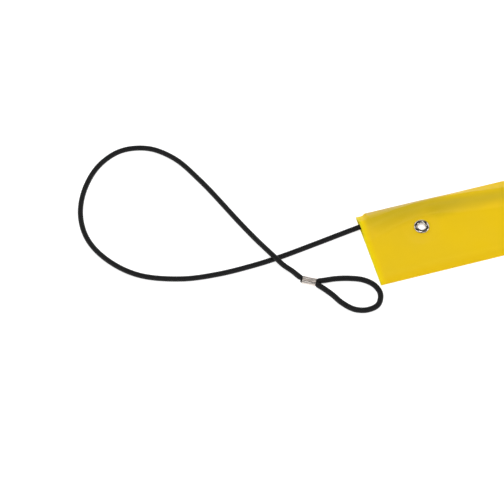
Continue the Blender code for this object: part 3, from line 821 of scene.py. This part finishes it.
# Stamped brass, barrel-polished and nickel plated: a warm mirror with fine tumbling marks.
def nickelPlate():
    material, tree, shader = newMaterial("nickelPlate", {
        "Metallic": 1.0, "Roughness": 0.1, "Base Color": linear("D6D0C8"),
    })
    place = addNode(tree, "ShaderNodeTexCoord").outputs["Object"]
    haze = addNode(tree, "ShaderNodeTexNoise", {"Scale": 1 / 0.0016, "Detail": 4.0}, {"Vector": place})
    rough = addNode(tree, "ShaderNodeMapRange", {
        "From Min": 0.3, "From Max": 0.7, "To Min": 0.05, "To Max": 0.14,
    }, {"Value": haze.outputs["Fac"]})
    tree.links.new(rough.outputs["Result"], shader.inputs["Roughness"])
    tarnish = addNode(tree, "ShaderNodeTexNoise", {"Scale": 1 / 0.004, "Detail": 2.0}, {"Vector": place})
    tone = addNode(tree, "ShaderNodeMapRange", {"From Min": 0.45, "From Max": 0.75},
                   {"Value": tarnish.outputs["Fac"]})
    colour = addNode(tree, "ShaderNodeMix", {"data_type": "RGBA", 6: linear("D8D2CB"), 7: linear("C2B6A6")},
                     {0: tone.outputs["Result"]})
    tree.links.new(colour.outputs[2], shader.inputs["Base Color"])
    dents = addNode(tree, "ShaderNodeTexNoise", {"Scale": 1 / 0.0025, "Detail": 1.0}, {"Vector": place})
    bump = addNode(tree, "ShaderNodeBump", {"Strength": 0.2, "Distance": 0.00005},
                   {"Height": dents.outputs["Fac"]})
    tree.links.new(bump.outputs["Normal"], shader.inputs["Normal"])
    return material


# Tin-plated steel strip, pressed round the cord: pale, with drawing lines along its length.
def pressedSteel():
    material, tree, shader = newMaterial("pressedSteel", {
        "Metallic": 1.0, "Roughness": 0.3, "Base Color": linear("D4CDC4"),
    })
    across = addNode(tree, "ShaderNodeAttribute", {"attribute_name": "acrossSheet"}).outputs["Fac"]
    # drawing lines are about 0.1 mm apart: drawn at 0.7 mm
    lines = addNode(tree, "ShaderNodeTexNoise", {
        "noise_dimensions": "1D", "Scale": 1 / 0.0007, "Detail": 2.0,
    }, {"W": across})
    rough = addNode(tree, "ShaderNodeMapRange", {
        "From Min": 0.3, "From Max": 0.7, "To Min": 0.24, "To Max": 0.36,
    }, {"Value": lines.outputs["Fac"]})
    tree.links.new(rough.outputs["Result"], shader.inputs["Roughness"])
    colour = addNode(tree, "ShaderNodeMix", {"data_type": "RGBA", 6: linear("F6EEE8"), 7: linear("D2C6BC")},
                     {0: lines.outputs["Fac"]})
    tree.links.new(colour.outputs[2], shader.inputs["Base Color"])
    bump = addNode(tree, "ShaderNodeBump", {"Strength": 0.1, "Distance": 0.00003},
                   {"Height": lines.outputs["Fac"]})
    tree.links.new(bump.outputs["Normal"], shader.inputs["Normal"])
    return material


# Opal board lit from below, as a light table: pale, with hardly a shadow on it.
def litOpalBoard():
    return newMaterial("litOpalBoard", {
        "Roughness": 0.9, "Specular IOR Level": 0.1, "Base Color": linear("B4B4B4"),
        "Emission Color": linear("FFFFFF"), "Emission Strength": studio["floorGlow"],
    })[0]


studio = {
    "floorGlow": 0.80,
    "floorReach": 4.0,
    "floorDrop": 0.35 * mm,             # the braid stands a little below the nominal cord
    "horizon": 0.95,                    # brightness of the room low down and overhead
    "overhead": 0.14,
    "stretches": 2.6,                   # scale of the bright and dark stretches in the metal
    "horizonTo": (0.22, 0.62),          # height of the change, as the sine of the elevation
    "aim": (-0.30, 0.03, 0.0),
    "panels": {                         # place, width, height, watts, seen in the metal
        "overheadPanel": ((-0.32, -0.05, 1.7), 1.1, 1.1, 15.0, False),
        "leftPanel": ((-1.50, -0.45, 0.95), 0.7, 0.7, 3.6, True),
        "rightPanel": ((0.95, -0.35, 0.75), 0.4, 0.6, 2.2, True),
        "backStrip": ((-0.25, 1.70, 0.40), 1.8, 0.35, 3.0, True),
        "smallPanel": ((-0.42, -0.15, 1.65), 0.50, 0.60, 2.6, True),
        "backLeftPanel": ((-1.25, 1.00, 1.10), 0.55, 0.55, 2.0, True),
        "backRightPanel": ((0.85, 0.90, 1.20), 0.50, 0.50, 1.8, True),
    },
}


def addPanel(name, place, width, height, watts, seenInMetal):
    data = bpy.data.lights.new(name, "AREA")
    data.shape = "RECTANGLE"
    data.size = width
    data.size_y = height
    data.energy = watts
    light = bpy.data.objects.new(name, data)
    light.visible_glossy = seenInMetal
    bpy.context.scene.collection.objects.link(light)
    light.location = place
    light.rotation_euler = (Vector(place) - Vector(studio["aim"])).to_track_quat("Z", "Y").to_euler()


def addRoom():
    world = bpy.data.worlds.new("studio")
    world.use_nodes = True
    bpy.context.scene.world = world
    tree = world.node_tree
    direction = addNode(tree, "ShaderNodeTexCoord").outputs["Generated"]
    height = addNode(tree, "ShaderNodeSeparateXYZ", links={0: direction}).outputs["Z"]
    low, high = studio["horizonTo"]
    change = addNode(tree, "ShaderNodeMapRange", {
        "From Min": low, "From Max": high, "To Min": studio["horizon"], "To Max": studio["overhead"],
    }, {"Value": height})
    stretches = addNode(tree, "ShaderNodeTexNoise", {"Scale": studio["stretches"], "Detail": 0.0},
                        {"Vector": direction})             # panels and dark gaps between them
    gaps = addNode(tree, "ShaderNodeMapRange", {
        "From Min": 0.46, "From Max": 0.54, "To Min": 0.25, "To Max": 1.4,
    }, {"Value": stretches.outputs["Fac"]})
    room = addNode(tree, "ShaderNodeMath", {"operation": "MULTIPLY"},
                   {0: change.outputs["Result"], 1: gaps.outputs["Result"]})
    tree.links.new(room.outputs[0], tree.nodes["Background"].inputs["Strength"])
    tree.nodes["Background"].inputs["Color"].default_value = (1.0, 1.0, 1.0, 1.0)


def addStudio():
    floorMesh = bpy.data.meshes.new("floor")
    reach = studio["floorReach"]
    corners = [(-reach, -reach, 0), (reach, -reach, 0), (reach, reach, 0), (-reach, reach, 0)]
    floorMesh.from_pydata(corners, [], [(0, 1, 2, 3)])
    floorMesh.materials.append(litOpalBoard())
    floor = bpy.data.objects.new("floor", floorMesh)
    floor.location = (0.0, 0.0, -studio["floorDrop"])
    bpy.context.scene.collection.objects.link(floor)
    addRoom()
    for name, panel in studio["panels"].items():
        addPanel(name, *panel)
    bpy.context.scene.view_settings.view_transform = "Standard"


def main():
    addCamera()
    cordSkin = braidedPolyester()
    steel = pressedSteel()
    for end, side, *routes in (("near", -1, nearLead, nearFerrule, nearEye),
                               ("far", 1, farLead, farFerrule, farEye)):
        route, ferrule, eye = [[placed(side, *point) for point in points] for points in routes]
        ferrulePiece = makeFerrule(end, ferrule, steel)
        makeLead(end, side, route, ferrule, eye, cordSkin)
        print("cord and ferrule:", end)
    makeRun(cordSkin)
    makeSleeve(calenderedVinyl())
    print("sleeve")
    plate = nickelPlate()
    for end, side in (("near", -1), ("far", 1)):
        makeEyelet(end, side, plate)
        makeWasher(end, side, plate)
    print("eyelets")
    addStudio()
    print("studio")


main()
